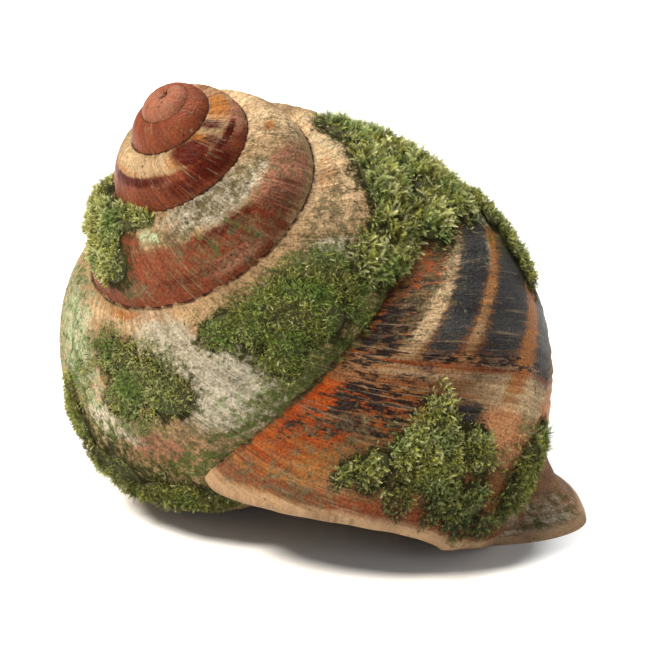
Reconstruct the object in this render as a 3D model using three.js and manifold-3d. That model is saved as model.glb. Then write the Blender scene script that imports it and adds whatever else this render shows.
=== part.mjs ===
// Land snail shell with moss growing on it, resting on its lip. Millimetres, +Z up.
// The shell is one tube wound in a growing spiral round a leaning axis: it turns to the
// right, and each whorl covers part of the one before. The moss sits on it as eight cushions.
import * as THREE from 'three';
import { mergeVertices } from 'three/addons/utils/BufferGeometryUtils.js';
import Module from 'manifold-3d';

const wasm = await Module();
wasm.setup();

// Driving dimensions of the spiral. Lengths marked "s" are multiples of the tube size s,
// which is startSize at turn 0 and grows by exp(growth.a t + growth.b t^2 + growth.c t^3).
const startSize = 0.67; // mm
const growth = { a: 0.4216, b: 0.0549, c: -0.008 };
const coilRadius = 0.851; // s, from the axis to the middle of the tube
const coilDrop = { scale: 3.138, rate: 0.0591, at: 3 }; // s, from the apex down the axis
const lastDrop = { from: 5.6, scale: 15.6 }; // the last tenth of a turn sinks faster
const startHeading = 158.57; // degrees, where turn 0 lies round the axis

// The tube's cross-section: four quarter curves of the form |x|^n + |y|^n = 1.
const section = { outer: 1.649, inner: 0.79, upper: 1.819, lower: 1.393 }; // s
const fullness = { upper: 2.38, lowerOuter: 1.725, inner: 2.4 }; // n

// How the axis stands, and where the apex is above the resting surface.
const lean = { angle: 31.11, heading: -137.88 }; // degrees
const drift = { perMm: 0.1661, heading: 76.12 }; // sideways creep of the axis
const apex = new THREE.Vector3(-14.14, -4.82, 38.9); // mm

// Wall and cavity.
const firstTurn = 0.35;
const firstCavityTurn = 2.35;
const lastPlainTurn = 5.25; // from here the tube runs out to the lip
const noseTurns = { outer: 0.25, cavity: 0.3 }; // length of the rounded start of each
const noseTip = 0.2; // share of the full size that the very start keeps
const mouthOverrun = 0.09; // turns that the cavity is cut past the lip
const mouthClear = 0.3; // turns of the last whorl that have no neighbour inside them
const wall = 0.1; // s
const lipWall = 1.7; // mm, where the wall thickens into the lip
const lipWallTurns = 0.07;
const pillar = 0.34; // s, half width of the central pillar

// The lip arches over the front and meets the ground everywhere else.
const lip = { turn: 5.6205, rise: 0.0017, curl: 0.000012, fall: 0.0012 }; // turns, per degree
const lipLimits = { archFrom: -35, mostTurn: 5.76 }; // degrees, turns
const belowGround = 0.9; // mm of tube that the ground cut takes off
const flare = { reach: 7.2, height: 2.9, front: [-26, -46], back: [-58, -104] }; // mm, degrees
const mouthCentre = { x: apex.x + 21, y: apex.y - 1 }; // mm, what the flare spreads away from
const flareTurns = [5.15, 5.35];
const groundSearch = { from: 5.2, to: 6, step: 0.002 }; // turns
const cutter = { wide: 200, deep: 20 }; // mm, the block that cuts at the ground

// Fineness of the facets.
const ringSides = 18;
const stepsPerTurn = 20;
const longestTube = 16; // steps; one closed length is under a turn, so it never meets itself
const domeFacets = { round: 8, rise: 4 };

// Moss.
const mossGap = 0.35; // mm between the shell and a cushion
const groundGap = 0.5; // mm between the ground and the lowest moss
const mossRoot = 0.6; // mm that a dome reaches in before it is trimmed to the shell

const rad = THREE.MathUtils.degToRad;
const smooth = THREE.MathUtils.smoothstep;

const tubeSize = (turn) =>
  startSize * Math.exp(turn * (growth.a + turn * (growth.b + turn * growth.c)));

const stand = new THREE.Matrix4()
  .makeTranslation(apex)
  .multiply(new THREE.Matrix4().makeRotationZ(rad(lean.heading)))
  .multiply(new THREE.Matrix4().makeRotationY(rad(lean.angle)))
  .multiply(new THREE.Matrix4().makeRotationZ(rad(-lean.heading)));

const quarter = (value, power) => Math.sign(value) * Math.abs(value) ** (2 / power);

// Where the lower front of the last whorl spreads over the ground as a skirt.
function spread(point, turn, angle) {
  const [frontEnd, frontFull] = flare.front;
  const [backFull, backEnd] = flare.back;
  const round = smooth(-angle, -frontEnd, -frontFull) * (1 - smooth(-angle, -backFull, -backEnd));
  const near = smooth(turn, ...flareTurns) * Math.exp(-Math.max(point.z, -1) / flare.height);
  const away = new THREE.Vector2(point.x, point.y).sub(mouthCentre).normalize();
  const amount = flare.reach * round * near;
  return point.add(new THREE.Vector3(away.x * amount, away.y * amount, 0));
}

// A point of the tube: turn along it, angle round its section (0 away from the axis,
// 90 towards the apex), share from the middle (0) to the wall (1), and offset outwards in mm.
function tubePoint(turn, angle, share = 1, offset = 0, innerShift = 0) {
  const s = tubeSize(turn);
  const c = Math.cos(rad(angle));
  const q = Math.sin(rad(angle));
  const power = q >= 0 ? fullness.upper : c >= 0 ? fullness.lowerOuter : fullness.inner;
  const halfWidth = s * (c >= 0 ? section.outer : section.inner - innerShift) + offset;
  const halfHeight = s * (q >= 0 ? section.upper : section.lower) + offset;
  const r = coilRadius * s + share * quarter(c, power) * halfWidth;
  const sink = lastDrop.scale * Math.max(turn - lastDrop.from, 0) ** 2;
  const down = -s * (coilDrop.scale * Math.exp(coilDrop.rate * (turn - coilDrop.at)) + sink);
  const z = down + share * quarter(q, power) * halfHeight;
  const heading = rad(startHeading - 360 * turn);
  const creep = drift.perMm * z;
  const point = new THREE.Vector3(
    r * Math.cos(heading) + creep * Math.cos(rad(drift.heading)),
    r * Math.sin(heading) + creep * Math.sin(rad(drift.heading)),
    z,
  ).applyMatrix4(stand);
  return spread(point, turn, angle);
}

// The turn at which the tube's wall goes under the ground at one angle of its section.
function groundTurn(angle) {
  let turn = groundSearch.from;
  while (turn < groundSearch.to && tubePoint(turn, angle).z > -belowGround) {
    turn += groundSearch.step;
  }
  return turn;
}

const lipTurn = (angle) => {
  const slope = angle > 0 ? lip.rise + lip.curl * angle : lip.fall;
  const arch = angle > lipLimits.archFrom ? lip.turn + slope * angle : lipLimits.mostTurn;
  return Math.min(arch, lipLimits.mostTurn, groundTurn(angle));
};

function toGeometry(manifold) {
  const { vertProperties, triVerts } = manifold.getMesh();
  const geometry = new THREE.BufferGeometry();
  geometry.setAttribute('position', new THREE.BufferAttribute(vertProperties, 3));
  geometry.setIndex(new THREE.BufferAttribute(triVerts, 1));
  return geometry;
}

function toManifold(geometry) {
  return new wasm.Manifold(
    new wasm.Mesh({
      numProp: 3,
      vertProperties: geometry.attributes.position.array,
      triVerts: new Uint32Array(geometry.index.array),
    }),
  );
}

// Bends a closed three.js geometry into place: place(x, y, z) gives each corner's new point.
function bend(geometry, place) {
  geometry.deleteAttribute('normal');
  geometry.deleteAttribute('uv');
  const merged = mergeVertices(geometry, 1e-5);
  const { position } = merged.attributes;
  for (let i = 0; i < position.count; i += 1) {
    const { x, y, z } = place(position.getX(i), position.getY(i), position.getZ(i));
    position.setXYZ(i, x, y, z);
  }
  return toManifold(merged);
}

// One closed length of tube. end is a turn, or a function that gives it for each angle.
function tube(start, end, { offset = () => 0, innerShift = 0, round = 0 } = {}) {
  const endAt = typeof end === 'function' ? end : () => end;
  const steps = Math.round((endAt(0) - start) * stepsPerTurn);
  const bar = new THREE.CylinderGeometry(1, 1, 1, ringSides, steps);
  return bend(bar, (x, y, z) => {
    const edge = Math.hypot(x, z);
    const angle = edge > 0.5 ? THREE.MathUtils.radToDeg(Math.atan2(z, x)) : 0;
    const turn = THREE.MathUtils.lerp(endAt(angle), start, y + 0.5);
    const nose = round > 0 ? Math.min((turn - start) / round, 1) : 1;
    const share = Math.round(edge) * Math.max(Math.sqrt(nose * (2 - nose)), noseTip);
    return tubePoint(turn, angle, share, offset(turn, angle), innerShift);
  });
}

// The lengths, end to end, that together reach from one turn to another.
function lengths(first, last) {
  const steps = Math.round((last - first) * stepsPerTurn);
  const count = Math.ceil(steps / longestTube);
  const stop = (i) => first + Math.round((i * steps) / count) / stepsPerTurn;
  return Array.from({ length: count }, (_, i) => [stop(i), stop(i + 1)]);
}

function outerBody(offset) {
  const extra = { offset: () => offset };
  const parts = lengths(firstTurn, lastPlainTurn).map(([from, to], i) =>
    tube(from, to, i === 0 ? { ...extra, round: noseTurns.outer } : extra),
  );
  parts.push(tube(lastPlainTurn, lipTurn, extra));
  return wasm.Manifold.union(parts);
}

// The room inside: narrower than the tube by the wall, and clear of the whorl before it.
function cavity() {
  const inset = (turn, angle) => {
    const plain = wall * tubeSize(turn);
    const toLip = 1 - Math.min(Math.max((lipTurn(angle) - turn) / lipWallTurns, 0), 1);
    return -(plain + (lipWall - plain) * toLip * toLip);
  };
  const shape = { offset: inset, innerShift: pillar };
  const step = 1 / stepsPerTurn;
  const rooms = lengths(firstCavityTurn, lastPlainTurn).map(([from, to], i) => {
    const room = tube(from, to, i === 0 ? { ...shape, round: noseTurns.cavity } : shape);
    return room.subtract(tube(from - 1 - step, to - 1 + step));
  });
  const mouth = tube(lastPlainTurn, (angle) => lipTurn(angle) + mouthOverrun, shape);
  rooms.push(mouth.subtract(tube(lastPlainTurn - 1 - step, lastPlainTurn - mouthClear)));
  return wasm.Manifold.union(rooms);
}

function slabBelow(height) {
  const { wide, deep } = cutter;
  const slab = new THREE.BoxGeometry(wide, wide, deep).translate(0, 0, height - deep / 2);
  return bend(slab, (x, y, z) => ({ x, y, z }));
}

const largest = (manifold) =>
  manifold.decompose().reduce((a, b) => (b.volume() > a.volume() ? b : a));

const shell = largest(outerBody(0).subtract(cavity()).subtract(slabBelow(0)));

// A dome of moss on the tube: centred at a turn and an angle, with its half lengths along
// the whorl and across it in mm, and its height in mm.
function dome([turn, angle, along, across, height]) {
  const ball = new THREE.SphereGeometry(1, domeFacets.round, domeFacets.rise);
  const here = tubePoint(turn, angle);
  const mmPerTurn = tubePoint(turn + 0.01, angle).distanceTo(here) / 0.01;
  const mmPerDegree = tubePoint(turn, angle + 2).distanceTo(here) / 2;
  return bend(ball, (x, y, z) =>
    tubePoint(
      turn + (x * along) / mmPerTurn,
      angle + (z * across) / mmPerDegree,
      1,
      y > 0 ? y * height : y * mossRoot,
    ),
  );
}

const cushions = {
  moss_spire: [
    [3.92, 55, 3.0, 2.6, 1.1],
    [3.88, 44, 3.4, 3.0, 1.1],
    [3.85, 36, 3.0, 2.2, 1.0],
    [3.86, 65, 2.6, 2.0, 0.9],
    [3.97, 50, 3.4, 3.2, 1.1],
  ],
  moss_shoulder: [
    [5.33, 58, 4.5, 3.6, 1.5],
    [5.38, 55, 4.6, 3.8, 1.6],
    [5.42, 48, 4.0, 3.4, 1.6],
    [5.46, 57, 3.4, 2.6, 1.4],
    [4.39, 44, 3.0, 2.8, 1.3],
    [4.45, 31, 4.6, 3.8, 1.6],
    [4.5, 21, 4.4, 3.6, 1.4],
    [4.54, 29, 2.4, 2.4, 1.3],
  ],
  moss_edge: [
    [5.41, 27, 3.0, 2.0, 1.0],
    [5.42, 19, 3.2, 2.2, 1.0],
    [5.43, 11, 3.2, 2.2, 0.9],
  ],
  moss_band: [
    [4.7, 51, 2.6, 1.6, 0.9],
    [4.665, 46, 2.8, 2.4, 1.1],
    [4.63, 39, 3.0, 3.0, 1.2],
    [4.605, 31, 2.2, 2.4, 1.1],
    [4.65, 31, 2.2, 2.4, 0.9],
  ],
  moss_body: [
    [4.82, 47, 2.4, 1.6, 0.8],
    [4.79, 38, 3.6, 2.4, 0.9],
    [4.76, 31, 2.8, 2.1, 0.9],
    [4.81, 30, 2.4, 1.6, 0.8],
  ],
  moss_belly: [
    [4.88, 24, 2.6, 2.2, 0.9],
    [4.885, 12, 3.4, 2.4, 1.0],
    [4.865, 2, 3.6, 2.4, 1.1],
    [4.835, -6, 3.4, 2.6, 1.1],
    [4.8, -12, 3.4, 2.6, 1.1],
    [4.76, -20, 3.4, 2.6, 1.0],
  ],
  moss_lip: [
    [5.65, 34, 1.6, 1.0, 0.8],
    [5.635, 29.5, 2.2, 1.6, 1.1],
    [5.612, 25, 2.4, 2.2, 1.4],
    [5.583, 25, 1.3, 2.6, 1.1],
    [5.6, 17, 2.4, 2.6, 1.5],
    [5.575, 11, 2.0, 2.4, 1.2],
    [5.605, 9.5, 2.2, 2.4, 1.5],
    [5.592, 4, 2.0, 1.8, 1.2],
  ],
  moss_flare: [
    [5.525, -11, 2.2, 1.6, 1.0],
    [5.543, -11, 2.8, 2.2, 1.3],
    [5.562, -11, 2.4, 2.0, 1.3],
  ],
};

const keepOut = outerBody(mossGap).add(slabBelow(groundGap));

const part = new THREE.Group();

function addNode(name, manifold, material) {
  const mesh = new THREE.Mesh(toGeometry(manifold), material);
  mesh.name = name;
  part.add(mesh);
}

const shellMaterial = { color: 0xb07a4e, roughness: 0.45, metalness: 0 };
addNode('shell', shell, new THREE.MeshStandardMaterial(shellMaterial));

for (const [name, domes] of Object.entries(cushions)) {
  const material = new THREE.MeshStandardMaterial({ color: 0x56702a, roughness: 0.95, metalness: 0 });
  const cushion = wasm.Manifold.union(domes.map(dome)).subtract(keepOut);
  addNode(name, largest(cushion), material);
}

export default part;
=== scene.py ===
import math
import bpy
import bmesh
import numpy as np
from mathutils import Matrix, Vector, noise


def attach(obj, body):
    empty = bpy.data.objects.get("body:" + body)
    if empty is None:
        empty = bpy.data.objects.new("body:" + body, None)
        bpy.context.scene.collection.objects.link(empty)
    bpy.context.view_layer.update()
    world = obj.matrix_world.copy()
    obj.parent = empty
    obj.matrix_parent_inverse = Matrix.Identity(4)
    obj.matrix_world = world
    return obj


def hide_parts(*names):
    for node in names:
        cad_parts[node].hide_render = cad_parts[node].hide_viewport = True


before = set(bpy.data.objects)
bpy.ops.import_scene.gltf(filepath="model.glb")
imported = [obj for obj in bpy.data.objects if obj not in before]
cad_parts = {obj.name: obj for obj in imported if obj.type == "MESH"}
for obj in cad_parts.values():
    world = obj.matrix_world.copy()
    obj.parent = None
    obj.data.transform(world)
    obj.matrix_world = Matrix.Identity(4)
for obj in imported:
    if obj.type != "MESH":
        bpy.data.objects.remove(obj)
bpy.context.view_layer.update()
scene = bpy.context.scene
mm = 0.001


def linear(hexColour):  # sRGB hex to the linear colour that nodes and lamps take
    parts = [int(hexColour[i:i + 2], 16) / 255 for i in (1, 3, 5)]
    return tuple(p / 12.92 if p <= 0.04045 else ((p + 0.055) / 1.055) ** 2.4 for p in parts) + (1.0,)


def addNode(tree, kind, settings=None, links=None):  # a hex value in the settings is a colour
    node = tree.nodes.new("ShaderNode" + kind)
    for name, value in (settings or {}).items():
        if isinstance(name, int) or name in node.inputs:
            node.inputs[name].default_value = linear(value) if isinstance(value, str) else value
        else:
            setattr(node, name, value)
    for name, source in (links or {}).items():
        tree.links.new(source, node.inputs[name])
    return node


def newMaterial(name):
    material = bpy.data.materials.new(name)
    material.use_nodes = True
    tree = material.node_tree
    tree.nodes.clear()
    shader = addNode(tree, "BsdfPrincipled")
    addNode(tree, "OutputMaterial", {}, {"Surface": shader.outputs[0]})
    return material, tree, shader


def twoToneMaterial(name, look):  # two colours and a bump that follow one noise
    material, tree, shader = newMaterial(name)
    place = addNode(tree, "TexCoord").outputs["Object"]
    grain = addNode(tree, "TexNoise", {"Scale": 1000 / look["grain"], "Detail": look["detail"]},
                    {"Vector": place}).outputs[0]
    tone = addNode(tree, "Mix", {"data_type": "RGBA", 6: look["colours"][0], 7: look["colours"][1]},
                   {0: grain}).outputs[2]
    tree.links.new(tone, shader.inputs["Base Color"])
    shader.inputs["Roughness"].default_value = look["roughness"]
    if look["bump"]:
        bump = addNode(tree, "Bump", {"Strength": look["bump"], "Distance": look["bumpDepth"] * mm},
                       {"Height": grain})
        tree.links.new(bump.outputs[0], shader.inputs["Normal"])
    return material, tree, shader, tone


def meshFrom(bm, name):
    mesh = bpy.data.meshes.new(name)
    bm.to_mesh(mesh)
    bm.free()
    return mesh


def smooth(value, low, high):  # 0 at low, 1 at high
    share = np.clip((value - low) / (high - low), 0, 1)
    return share * share * (3 - 2 * share)


def unit(vectors):
    return vectors / np.maximum(np.linalg.norm(vectors, axis=-1, keepdims=True), 1e-9)


def finishPiece(mesh, name, materials, replaced, smoothFaces=True):
    piece = bpy.data.objects.new(name, mesh)
    scene.collection.objects.link(piece)
    for material in materials:
        mesh.materials.append(material)
    if smoothFaces:
        mesh.shade_smooth()
    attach(piece, "root")
    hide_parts(replaced)
    return piece


view = {
    "place": (-0.09, -267.2, 112.71),  # mm
    "tilt": 70.0,  # degrees from straight down
    "lens": 177.2, "sensor": 36, "nearest": 10,  # mm
}

studio = {
    "floorReach": 3000,  # mm
    "worldColour": "#fbfbfb",
    "worldStrength": 0.2,
    "aim": (0, 0, 16),  # mm, what the lamps point at
    # name: place in mm, width in mm, power in W, colour
    "lamps": {
        "keyLamp": ((-340, -110, 430), 170, 5.2, "#fff6ea"),
        "fillLamp": ((300, -420, 200), 320, 0.6, "#f6f8ff"),
        "topLamp": ((20, 240, 480), 240, 3.4, "#ffffff"),
    },
}

cameraData = bpy.data.cameras.new("camera")
cameraData.lens = view["lens"]
cameraData.sensor_width = view["sensor"]
cameraData.clip_start = view["nearest"] * mm
camera = bpy.data.objects.new("camera", cameraData)
camera.location = Vector(view["place"]) * mm
camera.rotation_euler = (math.radians(view["tilt"]), 0, 0)
scene.collection.objects.link(camera)
scene.camera = camera
scene.view_settings.view_transform = "Standard"

world = bpy.data.worlds.new("studio")
world.use_nodes = True
background = world.node_tree.nodes["Background"]
background.inputs["Color"].default_value = linear(studio["worldColour"])
background.inputs["Strength"].default_value = studio["worldStrength"]
scene.world = world

for lampName, (place, width, power, colour) in studio["lamps"].items():
    lampData = bpy.data.lights.new(lampName, "AREA")
    lampData.shape = "DISK"
    lampData.size = width * mm
    lampData.energy = power
    lampData.color = linear(colour)[:3]
    lamp = bpy.data.objects.new(lampName, lampData)
    lamp.location = Vector(place) * mm
    aim = Vector(studio["aim"]) - Vector(place)
    lamp.rotation_euler = aim.to_track_quat("-Z", "Y").to_euler()
    scene.collection.objects.link(lamp)

# Matt painted board: even and pale, with no gloss.
board = {"colours": ("#f3f3f2", "#efefee"), "grain": 1.1111, "detail": 2.0,  # mm
         "roughness": 0.9, "bump": 0}
bm = bmesh.new()
bmesh.ops.create_grid(bm, x_segments=1, y_segments=1, size=studio["floorReach"] * mm)
floor = bpy.data.objects.new("floor", meshFrom(bm, "floor"))
floor.data.materials.append(twoToneMaterial("mattPaintedBoard", board)[0])
scene.collection.objects.link(floor)
print("stage: camera, floor and lamps")


# The spiral that every surface of the shell follows. Turns are counted from the tip, and angles
# go round the tube's section: 0 is outwards, 90 is up, towards the tip.
spiral = {
    "startSize": 0.67,  # mm, the tube's size s at turn 0
    "growth": (0.4216, 0.0549, -0.008),
    "coilRadius": 0.851,  # s
    "coilDrop": (3.138, 0.0591, 3.0),  # s, rate, turn
    "lastDrop": (5.6, 15.6),  # turn, s
    "startHeading": 158.57,  # degrees
    "outer": 1.649, "inner": 0.79, "upper": 1.819, "lower": 1.393,  # s
    "fullness": (2.38, 1.725, 2.4),  # upper, lower outer, lower inner
    "lean": (31.11, -137.88),  # degrees: angle, heading
    "drift": (0.1661, 76.12),  # per mm, heading in degrees
    "apex": (-14.14, -4.82, 38.9),  # mm
    "lipTurn": 5.6205, "lipRise": 0.0017, "lipCurl": 0.000012, "lipFall": 0.0012,  # turns, per degree
    "archFrom": -35, "mostTurn": 5.76,  # degrees, turns
    "flareReach": 7.2, "flareHeight": 2.9,  # mm
    "flareFront": (26, 46), "flareBack": (58, 104), "flareTurns": (5.15, 5.35),
    "mouthCentre": (21.0, -1.0),  # mm from the apex
    "slant": (0.0012, 0.0006, (4.0, 4.35)),  # of growth lines, turns per degree: first, more, when
    "slantFrom": 60,  # degrees, where a growth line has its own turn
}

apex = np.array(spiral["apex"])
leanAngle, leanHeading = (math.radians(a) for a in spiral["lean"])
stand = np.array(Matrix.Rotation(leanHeading, 3, "Z") @ Matrix.Rotation(leanAngle, 3, "Y")
                 @ Matrix.Rotation(-leanHeading, 3, "Z"))


def tubeSize(turn):
    a, b, c = spiral["growth"]
    return spiral["startSize"] * np.exp(turn * (a + turn * (b + turn * c)))


def section(turn, angle, share=1.0):  # radius from the axis and height along it, in mm
    s = tubeSize(turn)
    c, q = np.cos(np.radians(angle)), np.sin(np.radians(angle))
    upper, lowerOuter, lowerInner = spiral["fullness"]
    power = np.where(q >= 0, upper, np.where(c >= 0, lowerOuter, lowerInner))
    halfWidth = s * np.where(c >= 0, spiral["outer"], spiral["inner"])
    halfHeight = s * np.where(q >= 0, spiral["upper"], spiral["lower"])
    scale, rate, at = spiral["coilDrop"]
    sinkFrom, sinkScale = spiral["lastDrop"]
    sink = sinkScale * np.maximum(turn - sinkFrom, 0) ** 2
    down = -s * (scale * np.exp(rate * (turn - at)) + sink)
    radius = spiral["coilRadius"] * s + share * np.sign(c) * np.abs(c) ** (2 / power) * halfWidth
    return radius, down + share * np.sign(q) * np.abs(q) ** (2 / power) * halfHeight


def tubePoint(turn, angle, share=1.0):
    turn, angle = np.broadcast_arrays(np.asarray(turn, float), np.asarray(angle, float))
    radius, z = section(turn, angle, share)
    heading = np.radians(spiral["startHeading"] - 360 * turn)
    perMm, driftHeading = spiral["drift"]
    creep, driftHeading = perMm * z, math.radians(driftHeading)
    point = np.stack([radius * np.cos(heading) + creep * math.cos(driftHeading),
                      radius * np.sin(heading) + creep * math.sin(driftHeading), z], -1)
    point = point @ stand.T + apex
    around = smooth(-angle, *spiral["flareFront"]) * (1 - smooth(-angle, *spiral["flareBack"]))
    low = np.exp(-np.maximum(point[..., 2], -1) / spiral["flareHeight"])
    amount = spiral["flareReach"] * around * low * smooth(turn, *spiral["flareTurns"])
    away = unit(point[..., :2] - (apex[:2] + np.array(spiral["mouthCentre"])))
    point[..., :2] += away * amount[..., None]
    return point


def tubeFrame(turn, angle):  # point, outward normal, and mm per turn and per degree
    alongStep, acrossStep = 0.002, 0.6
    along = tubePoint(turn + alongStep, angle) - tubePoint(turn - alongStep, angle)
    aside = tubePoint(turn, angle + acrossStep) - tubePoint(turn, angle - acrossStep)
    along, aside = along / (2 * alongStep), aside / (2 * acrossStep)
    return tubePoint(turn, angle), unit(np.cross(aside, along)), along, aside


# Tables to look places up in: distance round the section in sizes, and along the whorls in mm.
tableTurn, tableAngle = 5.0, 20.0
hiddenBelow, hiddenShare = -62, 0.45  # degrees; the hidden base gets fewer rows
angles = np.arange(-240, 200.5, 0.5)
radii, drops = section(np.full_like(angles, tableTurn), angles)
steps = np.hypot(np.diff(radii), np.diff(drops)) / tubeSize(tableTurn)
acrossTable = np.concatenate([[0], np.cumsum(steps)])
rowSteps = steps * np.where(angles[:-1] < hiddenBelow, hiddenShare, 1.0)
rowTable = np.concatenate([[0], np.cumsum(rowSteps)])
turns = np.arange(0, 6.2, 0.005)
turnPoints = tubePoint(turns, tableAngle)
alongTable = np.concatenate([[0], np.cumsum(np.linalg.norm(np.diff(turnPoints, axis=0), axis=1))])


def seamAngles(turn):  # where the whorl before meets this one: (angle on this, angle on that)
    seek = np.arange(100, -90, -0.25)
    r, z = section(np.full_like(seek, turn - 1), seek)
    s = tubeSize(turn)
    midR, midZ = section(np.array(turn), np.array(0.0), 0.0)
    x = (r - midR) / (s * np.where(r > midR, spiral["outer"], spiral["inner"]))
    y = (z - midZ) / (s * np.where(z > midZ, spiral["upper"], spiral["lower"]))
    power = spiral["fullness"][0]
    first = np.argmax(np.abs(x) ** power + np.abs(y) ** power < 1)
    c = np.sign(x[first]) * abs(x[first]) ** (power / 2)
    q = np.sign(y[first]) * abs(y[first]) ** (power / 2)
    return math.degrees(math.atan2(q, c)), seek[first]


seamTurns = np.arange(1.3, 5.8, 0.02)
seamPairs = np.array([seamAngles(turn) for turn in seamTurns])
seamOverlap = (4, 2)  # degrees that a sheet runs on past its lower and upper seam


def upperSeam(turn):  # the first whorl has no seam above it, and closes at the axis
    closed, closing = 178, (0.95, 1.35)
    bare = np.interp(turn, seamTurns, seamPairs[:, 0])
    return bare + (closed - bare) * (1 - smooth(turn, *closing))


def lowerSeam(turn):
    return np.interp(turn + 1, seamTurns, seamPairs[:, 1])


# The turn at which the lip ends at each angle: an arch, cut off where it meets the ground.
reachTurns = np.arange(5.2, 6.0, 0.001)
heights = tubePoint(reachTurns[None, :], angles[:, None])[..., 2]
groundTurns = reachTurns[np.argmax(heights < 0, axis=1)]
slope = np.where(angles > 0, spiral["lipRise"] + spiral["lipCurl"] * angles, spiral["lipFall"])
arch = np.where(angles > spiral["archFrom"], spiral["lipTurn"] + slope * angles, spiral["mostTurn"])
lipTable = np.minimum(np.minimum(arch, spiral["mostTurn"]), groundTurns)
blur = 25  # steps of the table
lipTable = np.convolve(np.pad(lipTable, blur // 2, mode="edge"), np.ones(blur) / blur, mode="valid")


def across(turn, angle):
    return np.interp(angle, angles, acrossTable) * tubeSize(turn)


def growthTurn(turn, angle):  # the same all along one growth line
    first, more, when = spiral["slant"]
    slant = first + more * smooth(turn, *when)
    return turn + slant * (spiral["slantFrom"] - angle)


# Moss cushions: turn, angle, half length along and across in mm, and height in mm.
cushions = {
    "moss_spire": [
        (3.92, 55, 3.0, 2.6, 1.1), (3.88, 44, 3.4, 3.0, 1.1), (3.85, 36, 3.0, 2.2, 1.0),
        (3.86, 65, 2.6, 2.0, 0.9), (3.97, 50, 3.4, 3.2, 1.1)],
    "moss_shoulder": [
        (5.33, 58, 4.5, 3.6, 1.5), (5.38, 55, 4.6, 3.8, 1.6), (5.42, 48, 4.0, 3.4, 1.6),
        (5.46, 57, 3.4, 2.6, 1.4), (4.39, 44, 3.0, 2.8, 1.3), (4.45, 31, 4.6, 3.8, 1.6),
        (4.5, 21, 4.4, 3.6, 1.4), (4.54, 29, 2.4, 2.4, 1.3)],
    "moss_edge": [
        (5.41, 27, 3.0, 2.0, 1.0), (5.42, 19, 3.2, 2.2, 1.0), (5.43, 11, 3.2, 2.2, 0.9)],
    "moss_band": [
        (4.7, 51, 2.6, 1.6, 0.9), (4.665, 46, 2.8, 2.4, 1.1), (4.63, 39, 3.0, 3.0, 1.2),
        (4.605, 31, 2.2, 2.4, 1.1), (4.65, 31, 2.2, 2.4, 0.9)],
    "moss_body": [
        (4.82, 47, 2.4, 1.6, 0.8), (4.79, 38, 3.6, 2.4, 0.9), (4.76, 31, 2.8, 2.1, 0.9),
        (4.81, 30, 2.4, 1.6, 0.8)],
    "moss_belly": [
        (4.885, 12, 3.4, 2.4, 1.0), (4.865, 2, 3.6, 2.4, 1.1), (4.835, -6, 3.4, 2.6, 1.1),
        (4.8, -12, 3.4, 2.6, 1.1), (4.76, -20, 3.4, 2.6, 1.0)],
    "moss_lip": [
        (5.65, 34, 1.6, 1.0, 0.8), (5.635, 29.5, 2.2, 1.6, 1.1), (5.612, 25, 2.4, 2.2, 1.4),
        (5.583, 25, 1.3, 2.6, 1.1), (5.6, 17, 2.4, 2.6, 1.5), (5.575, 11, 2.0, 2.4, 1.2),
        (5.605, 9.5, 2.2, 2.4, 1.5), (5.592, 4, 2.0, 1.8, 1.2)],
    "moss_flare": [
        (5.525, -11, 2.2, 1.6, 1.0), (5.543, -11, 2.8, 2.2, 1.3), (5.562, -11, 2.4, 2.0, 1.3)],
}

# Felt of short moss round the cushions, laid out in the same way: a skin on the shell.
mossFilm = {
    "moss_band": [
        (4.66, 56, 3.4, 1.5, 0.3), (4.69, 48, 2.4, 2.2, 0.3), (4.62, 51, 3.2, 2.4, 0.3),
        (4.585, 42, 2.4, 3.0, 0.3), (4.6, 33, 3.0, 3.4, 0.3), (4.64, 38, 4.6, 4.4, 0.3),
        (4.66, 28, 2.6, 2.4, 0.3), (4.58, 24, 2.2, 2.6, 0.3)],
    "moss_spire": [
        (3.81, 68, 2.2, 1.2, 0.3)],
    "moss_body": [
        (4.83, 49, 3.4, 2.8, 0.25), (4.78, 42, 4.0, 3.2, 0.25), (4.8, 31, 4.0, 3.8, 0.25),
        (4.86, 38, 2.2, 4.2, 0.25)],
    "moss_flare": [
        (5.54, -4, 2.6, 2.2, 0.5), (5.56, -5, 2.4, 2.4, 0.5), (5.578, -9, 2.2, 2.0, 0.5),
        (5.555, -18, 2.2, 2.2, 0.5), (5.54, -19, 2.4, 2.0, 0.5), (5.525, -15, 1.8, 1.8, 0.5)],
    "moss_lip": [
        (5.6, 20, 3.4, 4.6, 0.5), (5.615, 12, 2.2, 3.0, 0.5), (5.632, 20, 1.6, 2.4, 0.5),
        (5.608, 4, 1.6, 2.2, 0.5), (5.592, -3, 2.0, 1.8, 0.5), (5.572, 29, 0.4, 1.7, 0.5)],
    "moss_belly": [
        (4.89, 22, 2.4, 2.6, 0.3), (4.78, -12, 3.0, 3.4, 0.3), (4.745, -18, 2.6, 1.6, 0.3)],
}

soilAndShadeReach = 1.55  # in half lengths of a cushion


def perDegree(turn, angle):  # mm
    return np.linalg.norm(tubeFrame(turn, angle)[3], axis=-1)


def perTurn(turn, angle):  # mm
    return np.linalg.norm(tubeFrame(turn, angle)[2], axis=-1)


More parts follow.
